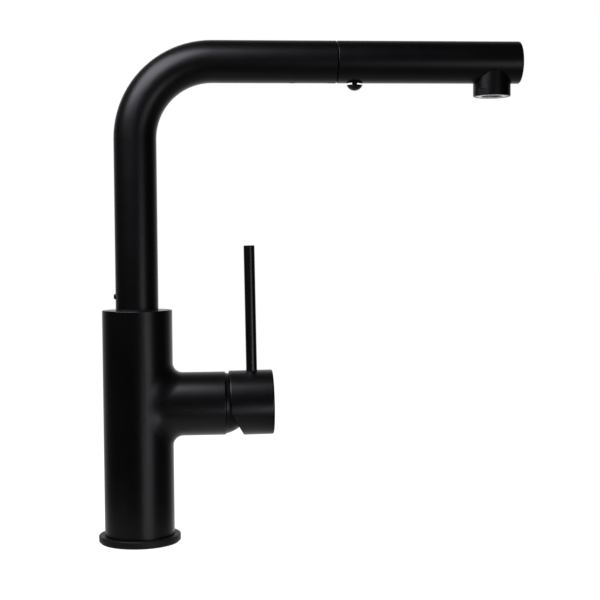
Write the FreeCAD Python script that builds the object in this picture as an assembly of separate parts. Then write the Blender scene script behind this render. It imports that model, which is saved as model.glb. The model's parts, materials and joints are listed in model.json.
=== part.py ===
import FreeCAD, Part
import math
import os

# A deck-mounted kitchen mixer tap with a swivelling L-shaped spout and a pull-out spray head.
# Millimetres. +Z is up and +X is the way the spout points. The origin is on the column's axis,
# in the plane of the worktop. Hidden screw threads are plain cylinders at their real diameter.

Vector = FreeCAD.Vector
ORIGIN = Vector(0, 0, 0)
X = Vector(1, 0, 0)
Y = Vector(0, 1, 0)
Z = Vector(0, 0, 1)

# --- Driving dimensions ---------------------------------------------------------------------

# Column, foot and side branch
flange_radius = 27.0
flange_top_z = 4.9
gasket_thickness = 0.9
column_radius = 23.0
column_top_z = 153.5
foot_step_z = 2.9
foot_radius = 20.9
deck_thread_radius = 19.2
deck_thread_length = 14.0
cavity_radius = 19.8
handle_axis_z = 90.9
branch_radius = 21.0
branch_end_x = 58.0
branch_blend_radius = 6.0
branch_front_blend_radius = 35.0
junction_half_height = 33.0
junction_end_x = 44.0

# Waterways cast in the column's valve block
block_bottom_z = 56.0
block_top_z = 116.0
top_wall_z = 143.0
hose_passage_radius = 7.0
socket_radius = 4.5
socket_depth = 12.0
socket_circle_radius = 14.2
inlet_socket_x = 5.0
gallery_radius = 2.4
inlet_gallery_y = 10.5
inlet_gallery_rise = 3.5
outlet_gallery_drop = 9.0

# Ceramic cartridge, measured along the branch
chamber_floor_x = 24.0
chamber_radius = 17.6
nut_thread_radius = 18.6
seal_end_x = 25.0
base_end_x = 30.0
fixed_disc_end_x = 33.2
moving_disc_end_x = 36.7
slider_end_x = 40.4
turret_disc_x = 42.3
turret_disc_end_x = 46.9
housing_front_x = 50.4
tilt_pivot_x = 54.0
turret_neck_radius = 9.5
disc_port_y = 6.5
disc_port_rise = 3.0
disc_outlet_drop = 6.5
closed_disc_offset = 2.9
spindle_ball_x = 40.2
spindle_ball_radius = 2.6
spindle_half_width = 4.0
spindle_half_height = 3.5
pin_radius = 1.5

# Lever
dome_radius = 20.5
dome_open_x = 68.5
hub_radius = 21.45
hub_start_x = 60.0
hub_end_x = 89.2
hub_bore_radius = 20.9
hub_relief_drop = 3.0
hub_relief_angle = 27.5
rod_radius = 3.65
rod_x = 75.4
rod_top_rise = 104.4
lever_rest_lean = 0.65

# Spout
tube_radius = 14.0
tube_bore_radius = 12.8
bend_radius = 51.0
spout_axis_z = 316.6
spout_end_x = 133.2
tube_bottom_z = 154.4
swivel_screw_z = 162.5
nipple_top_z = 186.0
swivel_groove_radius = 10.9
collar_start_x = 100.0
collar_end_x = 132.6
collar_bore_radius = 10.8
collar_screw_x = 104.0
keyway_start_x = 127.4
keyway_half_width = 1.6

# Pull-out hose
hose_radius = 6.0
hose_bore_radius = 4.05
hose_swivel_z = 150.0
hose_tail_z = 42.0
hose_split_x = 62.0
hose_end_x = 104.8

# Spray head
head_start_x = 133.8
head_end_x = 257.0
head_bore_radius = 12.4
core_radius = 12.2
core_end_x = 250.5
nose_radius = 10.6
nose_start_x = 112.0
nose_bore_end_x = 123.5
valve_bore_radius = 5.6
valve_bore_end_x = 137.5
main_channel_radius = 3.5
diverter_x = 145.5
diverter_bore_radius = 4.6
diverter_bore_top = 10.0
button_well_radius = 5.5
button_well_top = -7.2
button_radius = 5.15
button_gap = 1.3
nozzle_x = 238.2
nozzle_radius = 12.5
nozzle_bore_radius = 10.75
nozzle_bottom = -22.7
nozzle_seat = -4.9
stream_channel_drop = 1.5
spray_channel_rise = 5.0
spray_channel_y = 4.5
spray_drop_x = 232.0
channel_radius = 1.6
spring_wire_radius = 0.3


# --- Shared shape helpers -------------------------------------------------------------------

def rod(start, axis, radius, length):
    """A solid cylinder."""
    return Part.makeCylinder(radius, length, start, axis)


def ring(start, axis, outer, inner, length):
    """A plain sleeve."""
    return rod(start, axis, outer, length).cut(rod(start, axis, inner, length))


def block(low, high):
    """A box between two corners."""
    size = Vector(*high) - Vector(*low)
    return Part.makeBox(size.x, size.y, size.z, Vector(*low))


def outline(corners):
    """A closed wire in the XZ plane from (x, z, corner radius) points, with tangent arcs."""
    edges = []
    ends = []
    count = len(corners)
    for i in range(count):
        here = Vector(corners[i][0], 0, corners[i][1])
        before = Vector(corners[i - 1][0], 0, corners[i - 1][1])
        after = Vector(corners[(i + 1) % count][0], 0, corners[(i + 1) % count][1])
        radius = corners[i][2] if len(corners[i]) > 2 else 0
        if radius == 0:
            ends.append((here, here, None))
            continue
        back = (before - here).normalize()
        forward = (after - here).normalize()
        half = back.getAngle(forward) / 2
        reach = radius / math.tan(half)
        to_centre = (back + forward).normalize()
        middle = here + to_centre * (radius / math.sin(half) - radius)
        ends.append((here + back * reach, here + forward * reach, middle))
    for i in range(count):
        arc_start, arc_end, middle = ends[i]
        next_start = ends[(i + 1) % count][0]
        if middle is not None:
            edges.append(Part.Arc(arc_start, middle, arc_end).toShape())
        if arc_end.distanceToPoint(next_start) > 1e-6:
            edges.append(Part.LineSegment(arc_end, next_start).toShape())
    return Part.Wire(edges)


def turned(profile, start, axis):
    """Turns a (distance along the axis, radius, corner radius) profile about an axis."""
    wire = outline(profile)
    solid = Part.Face(wire).revolve(ORIGIN, X, 360)
    solid.Placement = FreeCAD.Placement(start, FreeCAD.Rotation(X, axis))
    return solid


def o_ring(centre, axis, ring_radius, cord_radius):
    return Part.makeTorus(ring_radius, cord_radius, centre, axis)


def coil_spring(start, axis, length, radius, pitch):
    """A helical spring that stands within the given length. Its wire has eight narrow flats."""
    rise = length - 2 * spring_wire_radius
    helix = Part.makeLongHelix(pitch, rise, radius)
    corners = []
    for k in range(9):
        angle = math.radians(45 * k + 22.5)
        across = radius + spring_wire_radius * math.cos(angle)
        corners.append(Vector(across, 0, spring_wire_radius * math.sin(angle)))
    section = Part.makePolygon(corners)
    spring = Part.Wire(helix.Edges).makePipeShell([section], True, True)
    spring.translate(Vector(0, 0, spring_wire_radius))
    spring.Placement = FreeCAD.Placement(start, FreeCAD.Rotation(Z, axis)).multiply(spring.Placement)
    return spring


def hexagon(start, axis, across_flats, length):
    """A six-sided prism, for socket recesses and spanner hexagons."""
    corner_radius = across_flats / math.sqrt(3)
    corners = []
    for k in range(7):
        angle = math.radians(60 * k)
        corners.append(Vector(corner_radius * math.cos(angle), corner_radius * math.sin(angle), 0))
    prism = Part.Face(Part.makePolygon(corners)).extrude(Vector(0, 0, length))
    prism.Placement = FreeCAD.Placement(start, FreeCAD.Rotation(Z, axis))
    return prism


def in_branch(x, y=0.0, rise=0.0):
    """A point given from the side branch's axis."""
    return Vector(x, y, handle_axis_z + rise)


def in_arm(x, y=0.0, rise=0.0):
    """A point given from the spout arm's axis."""
    return Vector(x, y, spout_axis_z + rise)


def leaned(shape):
    """Turns a lever piece to where the lever rests, a hair past upright towards the column."""
    shape.rotate(in_branch(tilt_pivot_x), Y, -lever_rest_lean)
    return shape


def save(name, shape):
    solid = shape.removeSplitter()
    if not solid.isValid():
        raise ValueError(name + " is not a valid solid")
    solid.exportStep("parts/" + name + ".step")
    print(name, "solids", len(solid.Solids), "volume", round(solid.Volume, 2))


# --- Foot and column ------------------------------------------------------------------------

def base_gasket():
    """The rubber ring between the foot and the worktop."""
    return ring(ORIGIN, Z, flange_radius - 1.2, foot_radius + 0.1, gasket_thickness)


def base_flange():
    """The round foot ring: a ledge carries the column, and a rim stands round it."""
    ledge_radius = foot_radius + 0.05
    rim_bore = column_radius + 0.05
    profile = [
        (gasket_thickness, ledge_radius),
        (gasket_thickness, flange_radius, 0.5),
        (flange_top_z, flange_radius, 0.7),
        (flange_top_z, rim_bore),
        (foot_step_z, rim_bore),
        (foot_step_z, ledge_radius),
    ]
    return turned(profile, ORIGIN, Z)


def junction_quarter():
    """A quarter of the junction of branch and column. Its blend is wider at the front than on top."""
    column = rod(in_branch(0), Z, column_radius, junction_half_height)
    branch = rod(in_branch(0), X, branch_radius, junction_end_x)
    space = block(
        (-column_radius - 1, -column_radius - 1, handle_axis_z),
        (junction_end_x, 0, handle_axis_z + junction_half_height),
    )
    quarter = column.fuse(branch).common(space).removeSplitter()
    front = Vector(math.sqrt(column_radius**2 - branch_radius**2), -branch_radius, handle_axis_z)
    top = in_branch(column_radius, 0, branch_radius)
    for edge in quarter.Edges:
        first = edge.valueAt(edge.FirstParameter)
        last = edge.valueAt(edge.LastParameter)
        if first.distanceToPoint(front) < 0.01 and last.distanceToPoint(top) < 0.01:
            return quarter.makeFillet(branch_front_blend_radius, branch_blend_radius, [edge])
        if first.distanceToPoint(top) < 0.01 and last.distanceToPoint(front) < 0.01:
            return quarter.makeFillet(branch_blend_radius, branch_front_blend_radius, [edge])
    raise ValueError("the junction has no corner to blend")


def column_and_branch():
    """The outside of the casting, before it is cored."""
    low_z = handle_axis_z - junction_half_height
    high_z = handle_axis_z + junction_half_height
    lower_column = rod(Vector(0, 0, foot_step_z), Z, column_radius, low_z - foot_step_z)
    upper_column = turned(
        [
            (high_z, 0),
            (high_z, column_radius),
            (column_top_z, column_radius, 0.6),
            (column_top_z, 0),
        ],
        ORIGIN,
        Z,
    )
    branch_nose = turned(
        [
            (junction_end_x, 0),
            (junction_end_x, branch_radius),
            (branch_end_x, branch_radius, 1.4),
            (branch_end_x, 0),
        ],
        in_branch(0),
        X,
    )
    front_half = junction_quarter()
    front_half = front_half.fuse(front_half.mirror(in_branch(0), Z))
    back_half = front_half.mirror(in_branch(0), Y)
    return lower_column.fuse([front_half, back_half, upper_column, branch_nose]).removeSplitter()


def sockets():
    """The three hose sockets in the valve block's underside, as (x, y)."""
    inlet_y = math.sqrt(socket_circle_radius**2 - inlet_socket_x**2)
    return {
        "hot": (inlet_socket_x, inlet_y),
        "cold": (inlet_socket_x, -inlet_y),
        "outlet": (socket_circle_radius, 0.0),
    }


def waterways():
    """Everything drilled in the valve block, as one tool shape."""
    inlet_z = handle_axis_z + inlet_gallery_rise
    outlet_z = handle_axis_z - outlet_gallery_drop
    drilled = []
    for name, (x, y) in sockets().items():
        top_z = outlet_z if name == "outlet" else inlet_z
        mouth = Vector(x, y, block_bottom_z)
        drilled.append(rod(mouth, Z, socket_radius, socket_depth))
        drilled.append(rod(mouth, Z, gallery_radius, top_z - block_bottom_z))
        gallery_y = math.copysign(inlet_gallery_y, y) if y else 0.0
        gallery_start = Vector(x, gallery_y, top_z)
        drilled.append(rod(gallery_start, X, gallery_radius, chamber_floor_x - x + 0.5))
    return drilled


def mixer_body():
    """The cast column with its side branch, valve block, galleries and cartridge chamber."""
    body = column_and_branch()
    body = body.fuse(rod(ORIGIN, Z, foot_radius, foot_step_z + 0.5))
    hollows = [
        rod(ORIGIN, Z, deck_thread_radius, deck_thread_length),
        rod(Vector(0, 0, deck_thread_length), Z, cavity_radius, block_bottom_z - deck_thread_length),
        rod(Vector(0, 0, block_bottom_z), Z, hose_passage_radius, block_top_z - block_bottom_z),
        rod(Vector(0, 0, block_top_z), Z, cavity_radius, top_wall_z - block_top_z),
        rod(Vector(0, 0, top_wall_z), Z, 11.85, column_top_z - top_wall_z),
        rod(in_branch(chamber_floor_x), X, chamber_radius, housing_front_x - chamber_floor_x),
        rod(in_branch(housing_front_x), X, nut_thread_radius, branch_end_x - housing_front_x),
    ]
    return body.cut(hollows + waterways())


# --- Swivel joint under the spout -----------------------------------------------------------

def swivel_nipple():
    """The hollow spigot that the spout turns on, with a groove for the retaining screw."""
    full = 12.4
    seat = swivel_groove_radius
    bore = 8.4
    profile = [
        (top_wall_z, bore),
        (top_wall_z, 11.8, 0.6),
        (column_top_z, 11.8),
        (column_top_z, full),
        (155.0, full),
        (155.0, seat),
        (159.5, seat),
        (159.5, full),
        (swivel_screw_z - 2.0, full),
        (swivel_screw_z - 2.0, seat),
        (swivel_screw_z + 2.0, seat),
        (swivel_screw_z + 2.0, full),
        (174.0, full),
        (174.0, seat),
        (178.5, seat),
        (178.5, full),
        (nipple_top_z - 2.0, full),
        (nipple_top_z, full - 1.6),
        (nipple_top_z, bore),
    ]
    stop = block(
        (swivel_groove_radius - 1.0, -1.6, swivel_screw_z - 2.2),
        (full - 0.1, 1.6, swivel_screw_z + 2.2),
    )
    return turned(profile, ORIGIN, Z).fuse(stop)


def bearing_ring(bottom_z):
    """A split plastic ring that guides the spout on the spigot."""
    sleeve = ring(Vector(0, 0, bottom_z), Z, 12.74, swivel_groove_radius + 0.03, 4.3)
    split = block((10, -0.5, bottom_z - 1), (14, 0.5, bottom_z + 6))
    return sleeve.cut(split)


def slip_washer():
    return ring(Vector(0, 0, column_top_z), Z, tube_radius - 0.15, 12.5, 0.8)


# --- Cartridge ------------------------------------------------------------------------------

def cartridge_ports(start_x, length, spread, rise, drop):
    """Two inlet holes and one outlet hole along the branch."""
    return [
        rod(in_branch(start_x, spread, rise), X, gallery_radius, length),
        rod(in_branch(start_x, -spread, rise), X, gallery_radius, length),
        rod(in_branch(start_x, 0, -drop), X, gallery_radius, length),
    ]


def cartridge_seal():
    """The rubber seal under the cartridge, with one lip round each port."""
    plate = rod(in_branch(chamber_floor_x), X, 15.0, seal_end_x - chamber_floor_x)
    ports = cartridge_ports(
        chamber_floor_x, 2, inlet_gallery_y, inlet_gallery_rise, outlet_gallery_drop
    )
    return plate.cut(ports)


def cartridge_base():
    """The port plate that leads the body's galleries in to the smaller ring of disc ports."""
    plate = turned(
        [
            (seal_end_x, 0),
            (seal_end_x, 17.4, 0.4),
            (base_end_x - 1, 17.4),
            (base_end_x - 1, 15.3),
            (base_end_x, 15.3),
            (base_end_x, 0),
        ],
        in_branch(0),
        X,
    )
    middle = (seal_end_x + base_end_x) / 2
    rear = cartridge_ports(
        seal_end_x, middle - seal_end_x, inlet_gallery_y, inlet_gallery_rise, outlet_gallery_drop
    )
    front = cartridge_ports(
        middle, base_end_x - middle, disc_port_y, disc_port_rise, disc_outlet_drop
    )
    links = [
        block((middle - 1, low_y, handle_axis_z + 1.0), (middle + 1, low_y + 5.0, handle_axis_z + 5.0))
        for low_y in (-11.0, 6.0)
    ]
    return plate.cut(rear + front + links)


def fixed_ceramic_disc():
    disc = rod(in_branch(base_end_x), X, 14.0, fixed_disc_end_x - base_end_x)
    return disc.cut(cartridge_ports(base_end_x, 4, disc_port_y, disc_port_rise, disc_outlet_drop))


def moving_disc_centre():
    """How far below the branch's axis the moving disc sits when the tap is shut."""
    return -closed_disc_offset + spindle_ball_rise()


def spindle_ball_rise():
    reach = tilt_pivot_x - spindle_ball_x
    return -reach * math.sin(math.radians(lever_rest_lean))


def moving_ceramic_disc():
    """The upper disc, with the blind mixing chamber in its lapped rear face."""
    centre = moving_disc_centre()
    disc = rod(in_branch(fixed_disc_end_x, 0, centre), X, 12.0, moving_disc_end_x - fixed_disc_end_x)
    chamber = rod(in_branch(fixed_disc_end_x, 0, centre - 3.5), X, 6.0, 2.0)
    return disc.cut(chamber)


def disc_slider():
    """The plastic carrier that the spindle's ball pushes across."""
    centre = handle_axis_z + moving_disc_centre()
    body = block((moving_disc_end_x, -9.3, centre - 8.0), (slider_end_x, 9.3, centre + 8.0))
    pocket = rod(in_branch(moving_disc_end_x + 0.6, 0, spindle_ball_rise()), X, 2.75, 5)
    return body.cut(pocket)


def cartridge_housing():
    """The plastic can round the discs, with the bore that the turret's neck turns in."""
    profile = [
        (base_end_x - 1, 15.4),
        (base_end_x - 1, 17.5),
        (housing_front_x, 17.5, 0.6),
        (housing_front_x, turret_neck_radius + 0.06),
        (47.2, turret_neck_radius + 0.06),
        (47.2, 15.4),
    ]
    return turned(profile, in_branch(0), X)


def cartridge_nut():
    """The threaded ring that clamps the cartridge, with a neck for the dome."""
    profile = [
        (housing_front_x, 11.5),
        (housing_front_x, nut_thread_radius - 0.05, 0.5),
        (56.8, nut_thread_radius - 0.05, 0.5),
        (56.8, 15.4),
        (60.0, 15.4, 0.4),
        (60.0, 11.5),
    ]
    nut = turned(profile, in_branch(0), X)
    spanner_slots = []
    for angle in (0, 90, 180, 270):
        slot = block((58.2, 9.0, handle_axis_z - 1.5), (61.0, 13.6, handle_axis_z + 1.5))
        slot.rotate(in_branch(0), X, angle)
        spanner_slots.append(slot)
    return nut.cut(spanner_slots)


def dome_cover():
    """The ball-shaped cover between branch and lever hub, centred on the lever's tilt pivot."""
    centre = in_branch(tilt_pivot_x)
    shell = Part.makeSphere(dome_radius, centre).cut(Part.makeSphere(dome_radius - 0.8, centre))
    zone = rod(in_branch(branch_end_x), X, 25, dome_open_x - branch_end_x)
    web = ring(in_branch(branch_end_x), X, 19.9, 15.45, 1.0)
    collar = ring(in_branch(branch_end_x), X, 16.8, 15.45, 3.6)
    return shell.common(zone).fuse([web, collar])


def spindle_carrier():
    """The turret: it turns with the lever, and its slot lets the spindle tilt."""
    profile = [
        (turret_disc_x, 0),
        (turret_disc_x, 15.2, 0.3),
        (turret_disc_end_x, 15.2, 0.3),
        (turret_disc_end_x, turret_neck_radius),
        (58.5, turret_neck_radius, 0.5),
        (58.5, 0),
    ]
    turret = turned(profile, in_branch(0), X)
    lugs = [
        block((37.0, low, handle_axis_z - 5), (turret_disc_x + 0.5, low + 3.8, handle_axis_z + 5))
        for low in (9.4, -13.2)
    ]
    slot_half = spindle_half_width + 0.1
    slots = [
        block((40.0, -slot_half, handle_axis_z - 8.5), (47.0, slot_half, handle_axis_z + 8.5)),
        block((46.5, -slot_half, handle_axis_z - 6.4), (59.0, slot_half, handle_axis_z + 6.4)),
        rod(in_branch(tilt_pivot_x, -10), Y, pin_radius, 20),
    ]
    return turret.fuse(lugs).cut(slots)


def pivot_pin():
    return rod(in_branch(tilt_pivot_x, -9.2), Y, pin_radius, 18.4)


# --- Lever ----------------------------------------------------------------------------------

def spindle():
    """The steel lever inside the cartridge: square shank, pivot hole, neck and ball."""
    width = spindle_half_width
    height = spindle_half_height
    shank = block(
        (49.0, -width, handle_axis_z - height), (83.5, width, handle_axis_z + height)
    )
    neck = rod(in_branch(spindle_ball_x), X, 2.0, 10.0)
    ball = Part.makeSphere(spindle_ball_radius, in_branch(spindle_ball_x))
    pivot = rod(in_branch(tilt_pivot_x, -6), Y, pin_radius + 0.05, 12)
    return leaned(shank.fuse([neck, ball]).cut(pivot))


def hub_relief():
    """The slanted cut under the hub's rear edge that lets the lever lift clear of the branch."""
    slope = math.tan(math.radians(hub_relief_angle))
    depth = 2 * hub_radius
    wedge = outline(
        [
            (hub_start_x - 5, -hub_relief_drop),
            (hub_start_x, -hub_relief_drop),
            (hub_start_x + depth * slope, -hub_relief_drop - depth),
            (hub_start_x - 5, -hub_relief_drop - depth),
        ]
    )
    cutter = Part.Face(wedge).extrude(Vector(0, 60, 0))
    cutter.translate(in_branch(0, -30))
    return cutter


def handle_hub():
    """The turned lever hub: a ball-shaped bore glides over the dome, and a socket takes the spindle."""
    profile = [
        (hub_start_x, 0),
        (hub_start_x, hub_radius, 1.1),
        (hub_end_x, hub_radius, 1.1),
        (hub_end_x, 0),
    ]
    hub = turned(profile, in_branch(0), X)
    width = spindle_half_width + 0.05
    height = spindle_half_height + 0.05
    hollows = [
        Part.makeSphere(hub_bore_radius, in_branch(tilt_pivot_x)),
        hub_relief(),
        block((70.0, -width, handle_axis_z - height), (83.8, width, handle_axis_z + height)),
        rod(in_branch(rod_x, 0, 7.0), Z, 2.5, 20.0),
        rod(in_branch(rod_x, 0, 20.2), Z, rod_radius + 0.2, 5.0),
        rod(in_branch(79.0, 0, -25.0), Z, 2.5, 23.0),
    ]
    return leaned(hub.cut(hollows))


def lever_rod():
    """The slim upright lever, with its threaded foot in the hub."""
    profile = [
        (8.0, 0),
        (8.0, 2.45, 0.3),
        (20.3, 2.45),
        (20.3, rod_radius),
        (rod_top_rise, rod_radius, 0.5),
        (rod_top_rise, 0),
    ]
    return leaned(turned(profile, in_branch(rod_x), Z))


def handle_grub_screw():
    """The socket screw that holds the hub on the spindle."""
    screw = rod(in_branch(79.0, 0, -10.5), Z, 2.45, 6.95)
    socket = hexagon(in_branch(79.0, 0, -10.5), Z, 2.5, 3.0)
    return leaned(screw.cut(socket))


def grub_screw_plug():
    """The small blanking plug under the hub, flush with its surface."""
    return leaned(
        turned([(-20.9, 0), (-20.9, 2.45, 0.3), (-18.4, 2.2), (-18.4, 0)], in_branch(79.0), Z)
    )


# --- Spout ----------------------------------------------------------------------------------

def bent_pipe(outer, inner, bottom_z, end_x):
    """A pipe that rises on the column's axis, bends forward and runs along the arm."""
    bend_start = spout_axis_z - bend_radius
    section = Part.Face(
        [
            Part.Wire(Part.makeCircle(outer, Vector(0, 0, bend_start), Z)),
            Part.Wire(Part.makeCircle(inner, Vector(0, 0, bend_start), Z)),
        ]
    )
    riser = ring(Vector(0, 0, bottom_z), Z, outer, inner, bend_start - bottom_z)
    bend = section.revolve(Vector(bend_radius, 0, bend_start), Y, 90)
    arm = ring(in_arm(bend_radius), X, outer, inner, end_x - bend_radius)
    return riser.fuse([bend, arm])


def spout_tube():
    """The outer tube, with holes for its two screws and the keyway at its end."""
    tube = bent_pipe(tube_radius, tube_bore_radius, tube_bottom_z, spout_end_x)
    end_chamfer = turned(
        [
            (spout_end_x - 0.35, tube_radius),
            (spout_end_x, tube_radius - 0.35),
            (spout_end_x, tube_radius + 1),
            (spout_end_x - 0.35, tube_radius + 1),
        ],
        in_arm(0),
        X,
    )
    keyway = block(
        (keyway_start_x, -keyway_half_width, spout_axis_z - 15),
        (spout_end_x + 1, keyway_half_width, spout_axis_z - 11),
    )
    cuts = [
        end_chamfer,
        keyway,
        rod(Vector(-12, 0, swivel_screw_z), -X, 1.55, 4),
        rod(Vector(-13.5, 0, swivel_screw_z), -X, 1.9, 3),
        rod(in_arm(collar_screw_x, 0, -15), Z, 1.9, 4),
    ]
    return tube.cut(cuts)


def spout_retaining_screw():
    """The low-headed screw whose tip rides in the spigot's groove."""
    profile = [
        (11.2, 0),
        (11.2, 1.2),
        (11.6, 1.5),
        (13.5, 1.5),
        (13.5, 1.8),
        (14.6, 1.8),
        (15.2, 1.15, 0.2),
        (15.2, 0),
    ]
    screw = turned(profile, Vector(0, 0, swivel_screw_z), -X)
    return screw.cut(hexagon(Vector(-15.3, 0, swivel_screw_z), X, 1.3, 1.1))


def docking_collar():
    """The guide sleeve in the spout's end that the spray head parks in."""
    length = collar_end_x - collar_start_x
    sleeve = ring(in_arm(collar_start_x), X, 12.75, collar_bore_radius, length)
    mouth = turned(
        [
            (collar_end_x - 0.8, collar_bore_radius - 0.01),
            (collar_end_x + 0.1, collar_bore_radius + 0.9),
            (collar_end_x + 0.1, collar_bore_radius - 0.01),
        ],
        in_arm(0),
        X,
    )
    keyway = block(
        (keyway_start_x, -keyway_half_width, spout_axis_z - 15),
        (collar_end_x + 1, keyway_half_width, spout_axis_z - 9),
    )
    screw_hole = rod(in_arm(collar_screw_x, 0, -15), Z, 1.3, 5)
    return sleeve.cut([mouth, keyway, screw_hole])


def collar_set_screw():
    """The small screw under the arm that holds the docking collar."""
    profile = [
        (10.9, 0),
        (10.9, 1.25),
        (12.76, 1.25),
        (12.76, 1.8),
        (13.2, 1.8, 0.2),
        (13.2, 0),
    ]
    screw = turned(profile, in_arm(collar_screw_x), -Z)
    return screw.cut(hexagon(in_arm(collar_screw_x, 0, -13.3), Z, 1.5, 1.2))


# --- Pull-out hose --------------------------------------------------------------------------

def hose_lower_run():
    length = hose_swivel_z - hose_tail_z
    return ring(Vector(0, 0, hose_tail_z), Z, hose_radius, hose_bore_radius, length)


def hose_bend_run():
    return bent_pipe(hose_radius, hose_bore_radius, hose_swivel_z, hose_split_x)


def hose_straight_run():
    length = hose_end_x - hose_split_x
    return ring(in_arm(hose_split_x), X, hose_radius, hose_bore_radius, length)


def hose_tail_fitting():
    """The crimped connector on the hose's lower end, with a plug-in spigot."""
    profile = [
        (18.0, 3.0),
        (18.0, 4.6, 0.4),
        (20.0, 4.6),
        (20.0, 3.9),
        (21.6, 3.9),
        (21.6, 4.9),
        (27.0, 4.9),
        (27.0, 6.9, 0.4),
        (31.0, 6.9, 0.4),
        (31.0, 7.3, 0.3),
        (45.0, 7.3, 0.5),
        (45.0, 6.05),
        (42.0, 6.05),
        (42.0, 4.0),
        (46.0, 4.0),
        (46.0, 3.0),
    ]
    return turned(profile, ORIGIN, Z)


def hose_tail_o_ring():
    return o_ring(Vector(0, 0, 20.8), Z, 4.5, 0.6)


def hose_coupling():
    """The hexagon union that screws the hose into the spray head's nose."""
    body = turned(
        [
            (92.0, 3.0),
            (92.0, 4.0, 0.3),
            (hose_end_x + 0.1, 4.0),
            (hose_end_x + 0.1, 7.0),
            (nose_start_x - 0.2, 7.0),
            (nose_start_x - 0.2, 8.1),
            (122.0, 8.1, 0.4),
            (122.0, 3.0),
        ],
        in_arm(0),
        X,
    )
    grip = hexagon(in_arm(106.2), X, 15.4, 5.6)
    return body.fuse(grip.cut(rod(in_arm(106), X, 3.0, 7)))


def hose_ferrule():
    """The crimped sleeve round the hose's end."""
    profile = [
        (90.0, hose_radius + 0.05),
        (90.0, 7.4, 0.5),
        (104.6, 7.4, 0.5),
        (104.6, hose_radius + 0.05),
    ]
    return turned(profile, in_arm(0), X)


# --- Spray head -----------------------------------------------------------------------------

def head_shell():
    """The outer tube of the head, closed at its front, with the nozzle and button openings."""
    profile = [
        (head_start_x, head_bore_radius),
        (head_start_x, tube_radius, 0.35),
        (head_end_x, tube_radius, 1.1),
        (head_end_x, 0),
        (head_end_x - 3.0, 0),
        (head_end_x - 3.0, head_bore_radius),
    ]
    shell = turned(profile, in_arm(0), X)
    nozzle_hole = rod(in_arm(nozzle_x, 0, -20), Z, nozzle_radius + 0.35, 20 + nozzle_seat)
    button_well = rod(in_arm(diverter_x, 0, -16), Z, button_well_radius, 8)
    return shell.cut([nozzle_hole, button_well])


def core_outside():
    """The spray head's inner body: docking nose, main barrel, key and the nozzle spigots."""
    barrel = turned(
        [
            (nose_start_x, 0),
            (nose_start_x, nose_radius, 0.8),
            (117.0, nose_radius),
            (117.0, 9.2),
            (119.0, 9.2),
            (119.0, nose_radius),
            (head_start_x + 0.3, nose_radius),
            (head_start_x + 0.3, core_radius),
            (core_end_x, core_radius, 0.8),
            (core_end_x, 0),
        ],
        in_arm(0),
        X,
    )
    key = block(
        (128.2, -1.35, spout_axis_z - 13.2), (head_start_x - 0.2, 1.35, spout_axis_z - 9.0)
    )
    barrel = barrel.fuse(key)
    nozzle_room = rod(in_arm(nozzle_x, 0, -20), Z, nozzle_radius + 0.1, 20 + nozzle_seat)
    stream_spigot = rod(in_arm(nozzle_x, 0, -11.0), Z, 6.5, 11.0 + nozzle_seat + 0.5)
    thread_ring = ring(in_arm(nozzle_x, 0, -9.5), Z, 10.65, 8.9, 9.5 + nozzle_seat + 0.5)
    return barrel.cut(nozzle_room).fuse([stream_spigot, thread_ring])


def inlet_bores():
    """The stepped bore for the hose union, the non-return valve and the way to the diverter."""
    return [
        rod(in_arm(nose_start_x), X, 8.15, nose_bore_end_x - nose_start_x),
        rod(in_arm(nose_bore_end_x), X, valve_bore_radius, valve_bore_end_x - nose_bore_end_x),
        rod(in_arm(valve_bore_end_x), X, main_channel_radius, diverter_x - valve_bore_end_x),
    ]


def diverter_bores():
    """The spool's bore and the wider well that the button sits in."""
    spool_length = diverter_bore_top - button_well_top
    return [
        rod(in_arm(diverter_x, 0, button_well_top), Z, diverter_bore_radius, spool_length),
        rod(in_arm(diverter_x, 0, -16), Z, button_well_radius, 16 + button_well_top),
    ]


def outlet_channels():
    """One channel to the aerator and one, higher and to the side, to the spray ring."""
    run = spray_drop_x - diverter_x + 1
    drop = spray_channel_rise - nozzle_seat + 1
    return [
        rod(in_arm(diverter_x, 0, -stream_channel_drop), X, channel_radius, nozzle_x - diverter_x),
        rod(in_arm(nozzle_x, 0, -12), Z, 3.0, 12),
        rod(in_arm(diverter_x, spray_channel_y, spray_channel_rise), X, channel_radius, run),
        rod(in_arm(spray_drop_x, spray_channel_y, nozzle_seat - 1), Z, 1.2, drop),
    ]


def head_core():
    """The inner body with its waterways drilled."""
    return core_outside().cut(inlet_bores() + diverter_bores() + outlet_channels())


def dock_o_ring():
    return o_ring(in_arm(118.0), X, 9.95, 0.72)


def inlet_washer():
    return ring(in_arm(122.0), X, 8.1, 4.0, nose_bore_end_x - 122.0)


def check_valve_body():
    """The non-return valve's cage, with its seat at the hose end and a guide at the other."""
    outer = valve_bore_radius - 0.05
    cage = ring(in_arm(123.6), X, outer, 4.3, 13.8)
    seat = ring(in_arm(123.6), X, 4.8, 2.6, 2.0)
    guide = ring(in_arm(135.6), X, 4.8, 1.02, 1.8)
    openings = []
    for angle in (90, 210, 330):
        y = 2.75 * math.cos(math.radians(angle))
        rise = 2.75 * math.sin(math.radians(angle))
        openings.append(rod(in_arm(135, y, rise), X, 1.25, 4))
    return cage.fuse([seat, guide.cut(openings)])


def check_valve_poppet():
    """The poppet that the water lifts off its seat."""
    profile = [
        (125.7, 0),
        (125.7, 3.6, 0.3),
        (127.3, 3.6),
        (127.3, 0.95),
        (137.0, 0.95),
        (137.0, 0),
    ]
    return turned(profile, in_arm(0), X)


def check_valve_spring():
    return coil_spring(in_arm(127.35), X, 8.2, 2.2, 1.6)


# --- Diverter -------------------------------------------------------------------------------

def diverter_gland():
    """The bush that guides the button's stem."""
    return ring(in_arm(diverter_x, 0, -9.3), Z, button_well_radius - 0.05, 1.8, 2.1)


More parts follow.
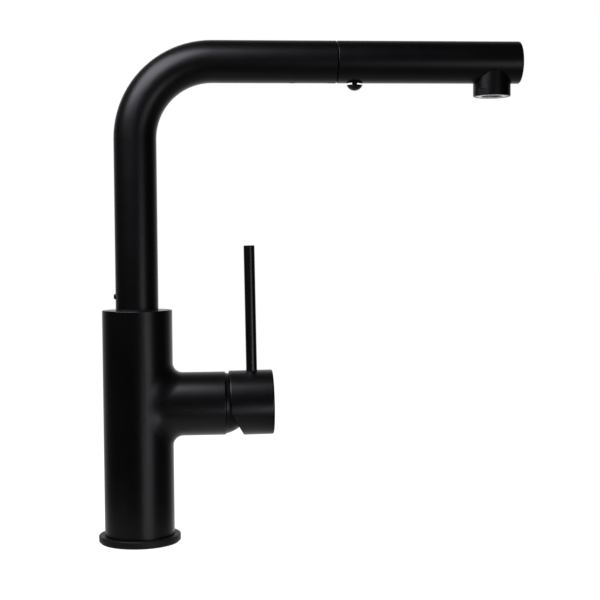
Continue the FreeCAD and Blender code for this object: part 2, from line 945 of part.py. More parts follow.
def diverter_button():
    """The domed push button and its stem."""
    top = -tube_radius - button_gap
    dome_height = 3.3
    dome_sphere = (button_radius**2 + dome_height**2) / (2 * dome_height)
    ball = Part.makeSphere(dome_sphere, in_arm(diverter_x, 0, top - 0.3 - dome_height + dome_sphere))
    cap_zone = rod(in_arm(diverter_x, 0, top - 10), Z, button_radius, 10 - 0.3)
    band = rod(in_arm(diverter_x, 0, top - 0.31), Z, button_radius, 0.31)
    stem = rod(in_arm(diverter_x, 0, top - 0.1), Z, 1.72, -7.0 - top + 0.1)
    return ball.common(cap_zone).fuse([band, stem])


def diverter_spool():
    """The sliding valve that sends the water to the stream or to the spray ring."""
    profile = [
        (-7.0, 0),
        (-7.0, 4.5, 0.2),
        (-6.1, 4.5),
        (-6.1, 3.4),
        (-4.9, 3.4),
        (-4.9, 4.5),
        (-4.0, 4.5),
        (-4.0, 2.4),
        (1.5, 2.4),
        (1.5, 4.5),
        (2.4, 4.5),
        (2.4, 3.4),
        (3.6, 3.4),
        (3.6, 4.5),
        (4.5, 4.5, 0.2),
        (4.5, 0),
    ]
    return turned(profile, in_arm(diverter_x), Z)


def spool_o_rings():
    rings = [o_ring(in_arm(diverter_x, 0, rise), Z, 3.97, 0.55) for rise in (-5.5, 3.0)]
    return Part.makeCompound(rings)


def diverter_spring():
    return coil_spring(in_arm(diverter_x, 0, 4.55), Z, 5.4, 2.6, 1.3)


# --- Nozzle ---------------------------------------------------------------------------------

def nozzle_sleeve():
    """The outlet ring under the head, with two spanner flats."""
    profile = [
        (nozzle_bottom, nozzle_bore_radius),
        (nozzle_bottom, nozzle_radius, 0.7),
        (nozzle_seat - 0.1, nozzle_radius),
        (nozzle_seat - 0.1, nozzle_bore_radius),
    ]
    sleeve = turned(profile, in_arm(nozzle_x), Z)
    flats = []
    for angle in (45, 225):
        flat = block((11.9, -3.5, nozzle_bottom - 1), (14, 3.5, nozzle_bottom + 4.6))
        flat.rotate(ORIGIN, Z, angle)
        flat.translate(in_arm(nozzle_x))
        flats.append(flat)
    return sleeve.cut(flats)


def spray_face():
    """The pale ring of fine spray holes round the aerator."""
    bottom = nozzle_bottom + 0.15
    face = turned(
        [
            (bottom, 7.65),
            (bottom, nozzle_bore_radius - 0.05, 0.4),
            (bottom + 2.4, nozzle_bore_radius - 0.05),
            (bottom + 2.4, 7.65),
        ],
        in_arm(nozzle_x),
        Z,
    )
    hole_count = 20
    holes = []
    for k in range(hole_count):
        angle = 2 * math.pi * k / hole_count
        x = nozzle_x + 9.2 * math.cos(angle)
        y = 9.2 * math.sin(angle)
        holes.append(rod(in_arm(x, y, bottom - 1), Z, 0.45, 5))
    return face.cut(holes)


def aerator_housing():
    """The thin cup that carries the aerator over the stream spigot."""
    profile = [
        (nozzle_bottom + 0.25, 6.9),
        (nozzle_bottom + 0.25, 7.6, 0.25),
        (-8.0, 7.6),
        (-8.0, 6.55),
        (-12.0, 6.55),
        (-12.0, 6.9),
    ]
    return turned(profile, in_arm(nozzle_x), Z)


def aerator_grid():
    """The outlet lattice: square cells that straighten the stream."""
    low = nozzle_bottom + 0.6
    disc = rod(in_arm(nozzle_x, 0, low), Z, 6.85, 1.6)
    pitch = 1.45
    half_cell = 0.55
    reach = 4
    cells = []
    for i in range(-reach, reach + 1):
        for j in range(-reach, reach + 1):
            if math.hypot(i, j) * pitch + half_cell * 1.4 < 6.4:
                x = nozzle_x + i * pitch
                y = j * pitch
                cells.append(
                    block(
                        (x - half_cell, y - half_cell, spout_axis_z + low - 1),
                        (x + half_cell, y + half_cell, spout_axis_z + low + 3),
                    )
                )
    return disc.cut(cells)


def aerator_jet_plate():
    """The plate that breaks the water into jets and draws in air."""
    plate = rod(in_arm(nozzle_x, 0, -14.0), Z, 6.85, 1.9)
    holes = []
    for radius, count in ((2.4, 6), (4.8, 12)):
        for k in range(count):
            angle = 2 * math.pi * k / count
            x = nozzle_x + radius * math.cos(angle)
            holes.append(rod(in_arm(x, radius * math.sin(angle), -15), Z, 0.5, 4))
    return plate.cut(holes)


def aerator_o_ring():
    return ring(in_arm(nozzle_x, 0, -12.05), Z, 6.5, 5.0, 1.0)


# --- Every piece, each in its own file ------------------------------------------------------

os.makedirs("parts", exist_ok=True)

pieces = {
    "base_gasket": base_gasket(),
    "base_flange": base_flange(),
    "mixer_body": mixer_body(),
    "swivel_nipple": swivel_nipple(),
    "slip_washer": slip_washer(),
    "lower_bearing_ring": bearing_ring(155.1),
    "upper_bearing_ring": bearing_ring(174.1),
    "cartridge_seal": cartridge_seal(),
    "cartridge_base": cartridge_base(),
    "fixed_ceramic_disc": fixed_ceramic_disc(),
    "cartridge_housing": cartridge_housing(),
    "cartridge_nut": cartridge_nut(),
    "dome_cover": dome_cover(),
    "moving_ceramic_disc": moving_ceramic_disc(),
    "disc_slider": disc_slider(),
    "spindle_carrier": spindle_carrier(),
    "pivot_pin": pivot_pin(),
    "spindle": spindle(),
    "handle_hub": handle_hub(),
    "lever_rod": lever_rod(),
    "handle_grub_screw": handle_grub_screw(),
    "grub_screw_plug": grub_screw_plug(),
    "spout_tube": spout_tube(),
    "spout_retaining_screw": spout_retaining_screw(),
    "docking_collar": docking_collar(),
    "collar_set_screw": collar_set_screw(),
    "hose_tail_fitting": hose_tail_fitting(),
    "hose_tail_o_ring": hose_tail_o_ring(),
    "hose_lower_run": hose_lower_run(),
    "hose_bend_run": hose_bend_run(),
    "hose_straight_run": hose_straight_run(),
    "hose_ferrule": hose_ferrule(),
    "hose_coupling": hose_coupling(),
    "inlet_washer": inlet_washer(),
    "head_shell": head_shell(),
    "head_core": head_core(),
    "dock_o_ring": dock_o_ring(),
    "check_valve_body": check_valve_body(),
    "check_valve_poppet": check_valve_poppet(),
    "check_valve_spring": check_valve_spring(),
    "diverter_gland": diverter_gland(),
    "diverter_button": diverter_button(),
    "diverter_spool": diverter_spool(),
    "spool_o_rings": spool_o_rings(),
    "diverter_spring": diverter_spring(),
    "nozzle_sleeve": nozzle_sleeve(),
    "spray_face": spray_face(),
    "aerator_housing": aerator_housing(),
    "aerator_grid": aerator_grid(),
    "aerator_jet_plate": aerator_jet_plate(),
    "aerator_o_ring": aerator_o_ring(),
}

for piece_name, piece_shape in pieces.items():
    save(piece_name, piece_shape)
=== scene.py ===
import json
import math

import bmesh
import bpy
from mathutils import Matrix, Vector


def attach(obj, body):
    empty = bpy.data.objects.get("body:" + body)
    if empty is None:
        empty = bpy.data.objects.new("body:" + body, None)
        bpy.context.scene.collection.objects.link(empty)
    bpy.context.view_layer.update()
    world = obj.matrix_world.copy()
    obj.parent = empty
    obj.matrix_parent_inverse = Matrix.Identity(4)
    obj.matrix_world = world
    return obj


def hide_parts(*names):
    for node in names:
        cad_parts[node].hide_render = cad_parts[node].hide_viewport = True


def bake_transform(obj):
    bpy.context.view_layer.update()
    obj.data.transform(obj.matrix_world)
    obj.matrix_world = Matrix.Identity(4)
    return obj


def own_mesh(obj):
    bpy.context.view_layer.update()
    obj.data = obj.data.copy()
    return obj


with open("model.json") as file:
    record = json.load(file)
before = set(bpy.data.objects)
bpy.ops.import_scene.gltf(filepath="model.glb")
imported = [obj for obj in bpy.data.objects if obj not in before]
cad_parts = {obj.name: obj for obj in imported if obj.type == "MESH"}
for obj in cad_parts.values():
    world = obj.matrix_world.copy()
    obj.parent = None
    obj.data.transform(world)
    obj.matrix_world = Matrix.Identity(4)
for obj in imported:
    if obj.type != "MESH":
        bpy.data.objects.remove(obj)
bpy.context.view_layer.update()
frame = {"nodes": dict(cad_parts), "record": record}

# The looks of a matte black pull-out kitchen mixer tap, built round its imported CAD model.
# Metres, in the model's own frame: +Z up, +X along the spout. The origin is where the column
# meets the worktop.

# --- Which black finish each of these pieces has, in place of its material slot's own ---------
FINISH_OF_NODE = {
    "spout_tube": "tube_black",
    "head_shell": "tube_black",
    "nozzle_sleeve": "tube_black",
    "lever_rod": "rod_black",
    "base_flange": "foot_black",
}

NODES = frame["nodes"]

# --- Camera: a long lens, nearly level, a little round to the spout's side -------------------
CAMERA_YAW = math.radians(4.85)
CAMERA_PITCH = math.radians(2.23)
CAMERA_ROLL = math.radians(-0.48)
CAMERA_RIGHT = 0.1075
CAMERA_HEIGHT = 0.1928
CAMERA_DISTANCE = 0.8622
CAMERA_SENSOR = 36.0
CAMERA_LENS = 78.48

# --- Stage: the floor, the back wall and table that the room stands for, and the lights' tints -
FLOOR_RADIUS = 6.0
FLOOR_SIDES = 96
FLOOR_DROP = 0.0003
FLOOR_GLOW = 0.985
FLOOR_PATCH_SCALE = 3.0
FLOOR_DARK = (0.55, 0.55, 0.55, 1)
FLOOR_LIGHT = (0.57, 0.57, 0.57, 1)
WALL_BRIGHTNESS = 1.1
WALL_SIDE_TILT = 0.35
WALL_FALLOFF = 4.0
TABLE_BRIGHTNESS = 0.16
WHITE = (1, 1, 1, 1)
COOL_LIGHT = (0.99, 0.96, 1.08)
COOL_BOUNCE = (0.99, 0.96, 1.06)
ROSE_LIGHT = (1.03, 0.96, 1.03)

# --- Hose: it follows the middle of the column, the bend and the arm --------------------------
ARM_HEIGHT = 0.3166
BEND_RADIUS = 0.051
HOSE_RADIUS = 0.006
HOSE_BORE = 0.00405
HOSE_SIDES = 40

# Heights in the column: the top of the tail fitting, and where the spout's piece takes over.
HOSE_TAIL = 0.042
HOSE_SWIVEL = 0.150

# Distances along the arm: the stretch that draws out, and the end inside the ferrule.
HOSE_STRETCH_START = 0.062
HOSE_STRETCH_END = 0.088
HOSE_END = 0.1048

COLUMN_STEPS = 12
RISER_STEPS = 8
BEND_STEPS = 24
SHORT_RUN_STEPS = 3
STRETCH_STEPS = 72
RIM_ANGLE = math.radians(40)
BRAID_STRANDS = 10
BRAID_PITCH = 0.0042
BRAID_STRENGTH = 0.8
BRAID_DEPTH = 0.0003

# --- Powder coat. Colours are linear light, and scales are features per metre ----------------
COAT_DARK = (0.0022, 0.0022, 0.0024, 1)
COAT_LIGHT = (0.0042, 0.0042, 0.0045, 1)
# Painted highlight: the lighter colour laid along sharp edges, where they catch the light.
COAT_EDGE_HIGHLIGHT = (0.010, 0.010, 0.0105, 1)
COAT_CLOUD_SCALE = 24.0
COAT_PATCH_SCALE = 90.0
COAT_PEEL_SCALE = 420.0
COAT_PEEL_STRENGTH = 0.10
COAT_PEEL_DEPTH = 0.00010
COAT_GRAIN_SCALE = 3800.0
COAT_GRAIN_STRENGTH = 0.22
COAT_GRAIN_DEPTH = 0.00003
EDGE_HIGHLIGHT_RADIUS = 0.0005

# Cosines between the true normal and the one of a softened edge: where the painted edge highlight
# starts, and where it is full.
EDGE_HIGHLIGHT_STARTS = 0.995
EDGE_HIGHLIGHT_FULL = 0.90

# --- Other surfaces --------------------------------------------------------------------------
DRIFT_SCALE = 160.0
GRAIN_SCALE = 1500.0
GRAIN_STRENGTH = 0.3
GRAIN_DEPTH = 0.00002
RAMP_START = 0.35
RAMP_END = 0.65


# =============================================================================================
# Node material helpers
# =============================================================================================

def new_material(name):
    """An empty node material with its shader and output."""
    material = bpy.data.materials.new(name)
    material.use_nodes = True
    tree = material.node_tree
    tree.nodes.clear()
    output = tree.nodes.new("ShaderNodeOutputMaterial")
    shader = tree.nodes.new("ShaderNodeBsdfPrincipled")
    tree.links.new(shader.outputs["BSDF"], output.inputs["Surface"])
    return material, tree, shader


def add(tree, kind, **settings):
    """Adds a node and sets its plain properties."""
    node = tree.nodes.new(kind)
    for key, value in settings.items():
        setattr(node, key, value)
    return node


def noise(tree, scale, detail=2.0):
    """Noise fixed to the object."""
    place = add(tree, "ShaderNodeTexCoord")
    texture = add(tree, "ShaderNodeTexNoise")
    texture.inputs["Scale"].default_value = scale
    texture.inputs["Detail"].default_value = detail
    tree.links.new(place.outputs["Object"], texture.inputs["Vector"])
    return texture


def ramp(tree, source, low, high):
    """A two-colour ramp driven by a texture's value."""
    node = add(tree, "ShaderNodeValToRGB")
    first, last = node.color_ramp.elements
    first.position = RAMP_START
    first.color = low
    last.position = RAMP_END
    last.color = high
    tree.links.new(source, node.inputs["Fac"])
    return node


def spread(tree, source, low, high):
    """Maps a 0..1 texture value to a range."""
    node = add(tree, "ShaderNodeMapRange")
    node.inputs["To Min"].default_value = low
    node.inputs["To Max"].default_value = high
    tree.links.new(source, node.inputs["Value"])
    return node


def bump(tree, height, strength, distance, below=None):
    """A bump node, stacked on another when one is given."""
    node = add(tree, "ShaderNodeBump")
    node.inputs["Strength"].default_value = strength
    node.inputs["Distance"].default_value = distance
    tree.links.new(height, node.inputs["Height"])
    if below is not None:
        tree.links.new(below, node.inputs["Normal"])
    return node


def edge_highlight_mask(tree):
    """1 along a sharp edge, falling to 0 on open surfaces: the mask of the painted edge highlight."""
    bevel = add(tree, "ShaderNodeBevel", samples=4)
    bevel.inputs["Radius"].default_value = EDGE_HIGHLIGHT_RADIUS
    geometry = add(tree, "ShaderNodeNewGeometry")
    likeness = add(tree, "ShaderNodeVectorMath", operation="DOT_PRODUCT")
    tree.links.new(bevel.outputs["Normal"], likeness.inputs[0])
    tree.links.new(geometry.outputs["Normal"], likeness.inputs[1])
    mask = add(tree, "ShaderNodeMapRange")
    mask.inputs["From Min"].default_value = EDGE_HIGHLIGHT_STARTS
    mask.inputs["From Max"].default_value = EDGE_HIGHLIGHT_FULL
    tree.links.new(likeness.outputs["Value"], mask.inputs["Value"])
    return mask


def math_node(tree, operation, *values):
    """One arithmetic step. Each value is a socket or a number."""
    node = add(tree, "ShaderNodeMath", operation=operation)
    for socket, value in zip(node.inputs, values):
        if isinstance(value, (int, float)):
            socket.default_value = value
        else:
            tree.links.new(value, socket)
    return node.outputs["Value"]


def mix_colour(tree, factor, source, colour):
    """Mixes a colour socket towards one plain colour. Returns the mixed colour's socket."""
    node = add(tree, "ShaderNodeMix", data_type="RGBA")
    sockets = {socket.identifier: socket for socket in node.inputs}
    tree.links.new(factor, sockets["Factor_Float"])
    tree.links.new(source, sockets["A_Color"])
    sockets["B_Color"].default_value = colour
    return next(socket for socket in node.outputs if socket.identifier == "Result_Color")


# =============================================================================================
# Materials
# =============================================================================================

def powder_coat(name, rough_low, rough_high, grain_strength=COAT_GRAIN_STRENGTH, shine=0.5):
    """Fine matte black powder coat: soft orange peel, a fine grain, and a painted highlight along the
    edges.
    """
    material, tree, shader = new_material(name)
    cloud = noise(tree, COAT_CLOUD_SCALE, detail=3.0)
    colour = ramp(tree, cloud.outputs["Fac"], COAT_DARK, COAT_LIGHT)
    # Sharp edges get a lighter colour: a painted highlight.
    edges = edge_highlight_mask(tree)
    highlighted_colour = mix_colour(tree, edges.outputs["Result"], colour.outputs["Color"], COAT_EDGE_HIGHLIGHT)
    tree.links.new(highlighted_colour, shader.inputs["Base Color"])
    patches = noise(tree, COAT_PATCH_SCALE, detail=4.0)
    rough = spread(tree, patches.outputs["Fac"], rough_low, rough_high)
    tree.links.new(rough.outputs["Result"], shader.inputs["Roughness"])
    peel = noise(tree, COAT_PEEL_SCALE, detail=1.0)
    soft = bump(tree, peel.outputs["Fac"], COAT_PEEL_STRENGTH, COAT_PEEL_DEPTH)
    grain = noise(tree, COAT_GRAIN_SCALE, detail=1.0)
    fine = bump(
        tree,
        grain.outputs["Fac"],
        grain_strength,
        COAT_GRAIN_DEPTH,
        below=soft.outputs["Normal"],
    )
    tree.links.new(fine.outputs["Normal"], shader.inputs["Normal"])
    shader.inputs["Specular IOR Level"].default_value = shine
    return material


def cast_coat():
    """The coat on the castings, which is a little smoother than on the tube."""
    return powder_coat("cast_coat", 0.30, 0.37)


def tube_coat():
    """The coat on the spout, the spray head and the nozzle."""
    return powder_coat("tube_coat", 0.33, 0.40)


def rod_coat():
    """The lever rod's coat: the smoothest, with hardly any grain."""
    return powder_coat("rod_coat", 0.28, 0.33, grain_strength=0.06, shine=0.85)


def foot_coat():
    """The foot ring's coat, rougher than the rest."""
    return powder_coat("foot_coat", 0.48, 0.56)


def plain_finish(name, low, high, rough_low, rough_high, metallic=0.0):
    """A worked surface with a colour drift, a roughness drift and a grain."""
    material, tree, shader = new_material(name)
    drift = noise(tree, DRIFT_SCALE, detail=3.0)
    colour = ramp(tree, drift.outputs["Fac"], (*low, 1), (*high, 1))
    tree.links.new(colour.outputs["Color"], shader.inputs["Base Color"])
    rough = spread(tree, drift.outputs["Fac"], rough_low, rough_high)
    tree.links.new(rough.outputs["Result"], shader.inputs["Roughness"])
    grain = noise(tree, GRAIN_SCALE)
    surface = bump(tree, grain.outputs["Fac"], GRAIN_STRENGTH, GRAIN_DEPTH)
    tree.links.new(surface.outputs["Normal"], shader.inputs["Normal"])
    shader.inputs["Metallic"].default_value = metallic
    return material


def black_oxide_steel():
    dark = (0.006, 0.006, 0.007)
    light = (0.016, 0.016, 0.017)
    return plain_finish("black_oxide_steel", dark, light, 0.30, 0.45)


def black_rubber():
    dark = (0.006, 0.006, 0.006)
    light = (0.012, 0.012, 0.012)
    return plain_finish("black_rubber", dark, light, 0.6, 0.8)


def machined_brass():
    dark = (0.62, 0.43, 0.15)
    light = (0.75, 0.55, 0.24)
    return plain_finish("machined_brass", dark, light, 0.22, 0.38, metallic=1.0)


def white_acetal():
    dark = (0.72, 0.71, 0.67)
    light = (0.82, 0.81, 0.78)
    return plain_finish("white_acetal", dark, light, 0.38, 0.5)


def glass_filled_plastic():
    dark = (0.014, 0.014, 0.015)
    light = (0.030, 0.030, 0.032)
    return plain_finish("glass_filled_plastic", dark, light, 0.45, 0.62)


def cartridge_plastic():
    dark = (0.45, 0.47, 0.50)
    light = (0.56, 0.58, 0.61)
    return plain_finish("cartridge_plastic", dark, light, 0.4, 0.55)


def lapped_ceramic():
    dark = (0.78, 0.77, 0.73)
    light = (0.88, 0.87, 0.84)
    return plain_finish("lapped_ceramic", dark, light, 0.12, 0.22)


def turned_steel():
    dark = (0.50, 0.50, 0.51)
    light = (0.62, 0.62, 0.63)
    return plain_finish("turned_steel", dark, light, 0.2, 0.34, metallic=1.0)


def satin_nickel():
    dark = (0.50, 0.50, 0.48)
    light = (0.66, 0.66, 0.63)
    return plain_finish("satin_nickel", dark, light, 0.24, 0.36, metallic=1.0)


def grid_plastic():
    dark = (0.02, 0.02, 0.02)
    light = (0.06, 0.06, 0.06)
    return plain_finish("grid_plastic", dark, light, 0.25, 0.45)


def braided_nylon(name, along_axis, middle):
    """Black braided nylon: two sets of strands wound left and right round a straight hose, with painted
    shade in the grooves between them.
    """
    # Painted shade: the grooves between the strands are coloured much darker than the strands.
    groove_shade = (0.004, 0.004, 0.004, 1)
    strand = (0.050, 0.050, 0.053, 1)
    groove_rough = 0.75
    strand_rough = 0.42
    material, tree, shader = new_material(name)
    place = add(tree, "ShaderNodeTexCoord")
    split = add(tree, "ShaderNodeSeparateXYZ")
    tree.links.new(place.outputs["Object"], split.inputs["Vector"])
    across_axis = "X" if along_axis == "Z" else "Z"
    across = math_node(tree, "SUBTRACT", split.outputs[across_axis], middle)
    angle = math_node(tree, "ARCTAN2", split.outputs["Y"], across)
    turns = math_node(tree, "MULTIPLY", angle, BRAID_STRANDS)
    along = math_node(tree, "MULTIPLY", split.outputs[along_axis], 2 * math.pi / BRAID_PITCH)
    right_hand = math_node(tree, "SINE", math_node(tree, "ADD", along, turns))
    left_hand = math_node(tree, "SINE", math_node(tree, "SUBTRACT", along, turns))
    weave = math_node(tree, "MAXIMUM", right_hand, left_hand)
    height = add(tree, "ShaderNodeMapRange")
    height.inputs["From Min"].default_value = -1.0
    tree.links.new(weave, height.inputs["Value"])
    colour = ramp(tree, height.outputs["Result"], groove_shade, strand)
    tree.links.new(colour.outputs["Color"], shader.inputs["Base Color"])
    rough = spread(tree, height.outputs["Result"], groove_rough, strand_rough)
    tree.links.new(rough.outputs["Result"], shader.inputs["Roughness"])
    raised = bump(tree, height.outputs["Result"], BRAID_STRENGTH, BRAID_DEPTH)
    tree.links.new(raised.outputs["Normal"], shader.inputs["Normal"])
    return material


def all_materials():
    """One look for each material slot of the record, and the other black coats."""
    return {
        "matte_black": cast_coat(),
        "rod_black": rod_coat(),
        "foot_black": foot_coat(),
        "tube_black": tube_coat(),
        "black_screw": black_oxide_steel(),
        "black_rubber": black_rubber(),
        "plain_brass": machined_brass(),
        "bearing_plastic": white_acetal(),
        "core_plastic": glass_filled_plastic(),
        "cartridge_plastic": cartridge_plastic(),
        "disc_ceramic": lapped_ceramic(),
        "bright_steel": turned_steel(),
        "hose_braid": braided_nylon("arm_braid", "X", ARM_HEIGHT),
        "column_braid": braided_nylon("column_braid", "Z", 0.0),
        "spray_metal": satin_nickel(),
        "grid_plastic": grid_plastic(),
    }


def dress_cad_nodes(materials):
    """Gives every CAD node the look of its material slot, or its own black finish."""
    for part in frame["record"]["subparts"]:
        node = NODES[part["node"]]
        look = FINISH_OF_NODE.get(part["node"], part["material_slot"])
        node.data.materials.clear()
        node.data.materials.append(materials[look])


# =============================================================================================
# The stage: floor, lights and camera
# =============================================================================================

def pale_floor():
    """A wide plain floor, white to the eye. Its glow leaves only a trace of the tap's shadow.

    It lights nothing and is mirrored in nothing: the table bounce stands in for it.
    """
    mesh = bpy.data.meshes.new("floor")
    build = bmesh.new()
    bmesh.ops.create_circle(build, cap_ends=True, radius=FLOOR_RADIUS, segments=FLOOR_SIDES)
    build.to_mesh(mesh)
    build.free()
    floor = bpy.data.objects.new("floor", mesh)
    floor.location.z = -FLOOR_DROP
    bpy.context.scene.collection.objects.link(floor)
    floor.visible_glossy = False
    floor.visible_diffuse = False
    floor.visible_shadow = False
    material, tree, shader = new_material("pale_floor")
    tree.nodes.remove(shader)
    paint = noise(tree, FLOOR_PATCH_SCALE)
    shade = ramp(tree, paint.outputs["Fac"], FLOOR_DARK, FLOOR_LIGHT)
    pale = add(tree, "ShaderNodeBsdfDiffuse")
    tree.links.new(shade.outputs["Color"], pale.inputs["Color"])
    glow = add(tree, "ShaderNodeEmission")
    glow.inputs["Color"].default_value = WHITE
    glow.inputs["Strength"].default_value = FLOOR_GLOW
    both = add(tree, "ShaderNodeAddShader")
    tree.links.new(pale.outputs["BSDF"], both.inputs[0])
    tree.links.new(glow.outputs["Emission"], both.inputs[1])
    output = next(node for node in tree.nodes if node.type == "OUTPUT_MATERIAL")
    tree.links.new(both.outputs["Shader"], output.inputs["Surface"])
    mesh.materials.append(material)


def soft_light(name, place, target, width, height, power, tint=(1, 1, 1), spread=180.0):
    """A rectangular softbox that faces a point. A small spread is a grid over its front."""
    data = bpy.data.lights.new(name, "AREA")
    data.shape = "RECTANGLE"
    data.size = width
    data.size_y = height
    data.energy = power
    data.color = tint
    data.spread = math.radians(spread)
    light = bpy.data.objects.new(name, data)
    light.location = place
    light.rotation_mode = "QUATERNION"
    light.rotation_quaternion = (Vector(target) - Vector(place)).to_track_quat("-Z", "Y")
    light.visible_camera = False
    bpy.context.scene.collection.objects.link(light)


def surroundings():
    """The room: plain white to the camera, and for every other ray bright only at the back.

    The back wall fades quickly to the sides and is brighter to the right. A dim table lies below.
    """
    world = bpy.data.worlds.new("studio")
    bpy.context.scene.world = world
    world.use_nodes = True
    tree = world.node_tree
    tree.nodes.clear()
    place = add(tree, "ShaderNodeTexCoord")
    split = add(tree, "ShaderNodeSeparateXYZ")
    tree.links.new(place.outputs["Generated"], split.inputs["Vector"])
    right, back, up = split.outputs
    wall = math_node(tree, "POWER", math_node(tree, "MAXIMUM", back, 0.0), WALL_FALLOFF)
    tilt = math_node(tree, "MULTIPLY_ADD", right, WALL_SIDE_TILT, WALL_BRIGHTNESS)
    wall_light = math_node(tree, "MULTIPLY", wall, tilt)
    down = math_node(tree, "MAXIMUM", math_node(tree, "MULTIPLY", up, -1.0), 0.0)
    table = math_node(tree, "MULTIPLY_ADD", back, TABLE_BRIGHTNESS, TABLE_BRIGHTNESS)
    table_light = math_node(tree, "MULTIPLY", down, math_node(tree, "MAXIMUM", table, 0.0))
    room = add(tree, "ShaderNodeBackground")
    room.inputs["Color"].default_value = WHITE
    tree.links.new(math_node(tree, "ADD", wall_light, table_light), room.inputs["Strength"])
    white = add(tree, "ShaderNodeBackground")
    white.inputs["Color"].default_value = WHITE
    path = add(tree, "ShaderNodeLightPath")
    choose = add(tree, "ShaderNodeMixShader")
    tree.links.new(path.outputs["Is Camera Ray"], choose.inputs["Fac"])
    tree.links.new(room.outputs["Background"], choose.inputs[1])
    tree.links.new(white.outputs["Background"], choose.inputs[2])
    output = add(tree, "ShaderNodeOutputWorld")
    tree.links.new(choose.outputs["Shader"], output.inputs["Surface"])


def lights():
    """A large overhead softbox to the left, a tall one to the right, and two weak bounces."""
    soft_light(
        "overhead_softbox",
        place=(-0.20, -0.24, 0.61),
        target=(0.0, 0.0, 0.30),
        width=0.46,
        height=0.36,
        power=2.4,
        tint=COOL_LIGHT,
    )
    soft_light(
        "side_softbox",
        place=(0.67, -1.0, 0.0),
        target=(0.02, 0.0, 0.06),
        width=0.46,
        height=0.48,
        power=0.98,
        tint=ROSE_LIGHT,
    )
    soft_light(
        "front_bounce",
        place=(0.23, -0.45, -0.08),
        target=(0.12, 0.0, 0.10),
        width=0.20,
        height=0.12,
        power=0.010,
        tint=COOL_BOUNCE,
        spread=30,
    )
    soft_light(
        "table_bounce",
        place=(-0.02, -0.01, -0.004),
        target=(-0.02, -0.01, 1.0),
        width=0.22,
        height=0.22,
        power=0.03,
    )


def camera():
    """The camera, placed by how far right, high and far off it stands and by its three turns."""
    right = Vector((math.cos(CAMERA_YAW), -math.sin(CAMERA_YAW), 0))
    level = Vector((math.sin(CAMERA_YAW), math.cos(CAMERA_YAW), 0))
    up = Vector((0, 0, 1))
    forward = level * math.cos(CAMERA_PITCH) - up * math.sin(CAMERA_PITCH)
    over = up * math.cos(CAMERA_PITCH) + level * math.sin(CAMERA_PITCH)
    rolled_right = right * math.cos(CAMERA_ROLL) + over * math.sin(CAMERA_ROLL)
    rolled_up = over * math.cos(CAMERA_ROLL) - right * math.sin(CAMERA_ROLL)
    data = bpy.data.cameras.new("camera")
    data.sensor_width = CAMERA_SENSOR
    data.lens = CAMERA_LENS
    view = bpy.data.objects.new("camera", data)
    turn = Matrix((rolled_right, rolled_up, -forward)).transposed()
    place = right * CAMERA_RIGHT + up * CAMERA_HEIGHT - level * CAMERA_DISTANCE
    view.matrix_world = Matrix.Translation(place) @ turn.to_4x4()
    bpy.context.scene.collection.objects.link(view)
    bpy.context.scene.camera = view


# =============================================================================================
# The pieces that change shape: the pull-out hose and two springs
# =============================================================================================

def straight_stations(start, end, count):
    """Evenly spaced points from start to end, both included."""
    start, end = Vector(start), Vector(end)
    return [start.lerp(end, k / count) for k in range(count + 1)]


def bend_stations(count):
    """The hose's way round the spout's bend, without its two ends."""
    stations = []
    for k in range(1, count):
        turn = math.pi / 2 * k / count
        x = BEND_RADIUS * (1 - math.cos(turn))
        z = ARM_HEIGHT - BEND_RADIUS + BEND_RADIUS * math.sin(turn)
        stations.append(Vector((x, 0, z)))
    return stations


def hose_ring(build, centre, along, radius):
    """A ring of vertices round one station, square to the hose's direction there."""
    side = Vector((0, 1, 0))
    over = side.cross(along)
    ring = []
    for j in range(HOSE_SIDES):
        angle = 2 * math.pi * j / HOSE_SIDES
        offset = side * math.cos(angle) + over * math.sin(angle)
        ring.append(build.verts.new(centre + offset * radius))
    return ring


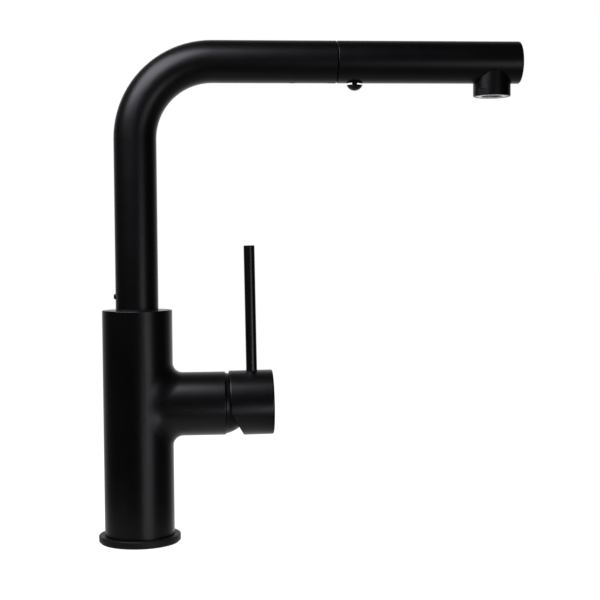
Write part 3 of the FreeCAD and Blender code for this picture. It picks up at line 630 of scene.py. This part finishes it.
def hose_mesh(name, stations):
    """A smooth open-ended hose along stations that lie in the XZ plane, with its bore and rims."""
    build = bmesh.new()
    walls = []
    for radius in (HOSE_RADIUS, HOSE_BORE):
        rings = []
        for k, here in enumerate(stations):
            before = stations[max(k - 1, 0)]
            after = stations[min(k + 1, len(stations) - 1)]
            rings.append(hose_ring(build, here, (after - before).normalized(), radius))
        walls.append(rings)
    outer, bore = walls
    for j in range(HOSE_SIDES):
        following = (j + 1) % HOSE_SIDES
        for k in range(len(stations) - 1):
            build.faces.new((outer[k][j], outer[k][following], outer[k + 1][following], outer[k + 1][j]))
            build.faces.new((bore[k][j], bore[k + 1][j], bore[k + 1][following], bore[k][following]))
        build.faces.new((outer[0][j], bore[0][j], bore[0][following], outer[0][following]))
        build.faces.new((outer[-1][j], outer[-1][following], bore[-1][following], bore[-1][j]))
    bmesh.ops.recalc_face_normals(build, faces=build.faces)
    mesh = bpy.data.meshes.new(name)
    build.to_mesh(mesh)
    build.free()
    mesh.shade_smooth()
    mesh.set_sharp_from_angle(angle=RIM_ANGLE)
    hose = bpy.data.objects.new(name, mesh)
    bpy.context.scene.collection.objects.link(hose)
    return hose


def pull_out_hose(materials):
    """The braided hose: one piece up the column, and one that is drawn out with the spray head."""
    swivel = (0, 0, HOSE_SWIVEL)
    bend_start = (0, 0, ARM_HEIGHT - BEND_RADIUS)
    bend_end = (BEND_RADIUS, 0, ARM_HEIGHT)
    stretch_start = (HOSE_STRETCH_START, 0, ARM_HEIGHT)
    stretch_end = (HOSE_STRETCH_END, 0, ARM_HEIGHT)
    head_end = (HOSE_END, 0, ARM_HEIGHT)

    column_run = straight_stations((0, 0, HOSE_TAIL), swivel, COLUMN_STEPS)
    lower = hose_mesh("hose_in_column", column_run)
    lower.data.materials.append(materials["column_braid"])
    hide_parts("hose_lower_run")
    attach(lower, "base")

    riser = straight_stations(swivel, bend_start, RISER_STEPS)
    bend = bend_stations(BEND_STEPS)
    arm = straight_stations(bend_end, stretch_start, SHORT_RUN_STEPS)
    stretch = straight_stations(stretch_start, stretch_end, STRETCH_STEPS)
    tail = straight_stations(stretch_end, head_end, SHORT_RUN_STEPS)
    upper = hose_mesh("hose_in_spout", riser + bend + arm + stretch[1:] + tail[1:])
    upper.data.materials.append(materials["hose_braid"])
    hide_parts("hose_bend_run", "hose_straight_run")
    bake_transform(upper)


def pressed_spring(node_name):
    """Hangs a copy of a coil spring's mesh on the spray head in place of its CAD node. In use the spring
    is pressed towards its far end as its joint moves along the axis.
    """
    node = NODES[node_name]
    spring = bpy.data.objects.new("pressed_" + node_name, node.data.copy())
    bpy.context.scene.collection.objects.link(spring)
    spring.matrix_world = node.matrix_world.copy()
    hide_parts(node_name)
    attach(spring, "spray_head")
    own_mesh(spring)


# =============================================================================================
# Making it
# =============================================================================================

camera()
surroundings()
lights()
pale_floor()
MATERIALS = all_materials()
dress_cad_nodes(MATERIALS)
pull_out_hose(MATERIALS)
pressed_spring("check_valve_spring")
pressed_spring("diverter_spring")
bpy.context.scene.view_settings.view_transform = "Standard"
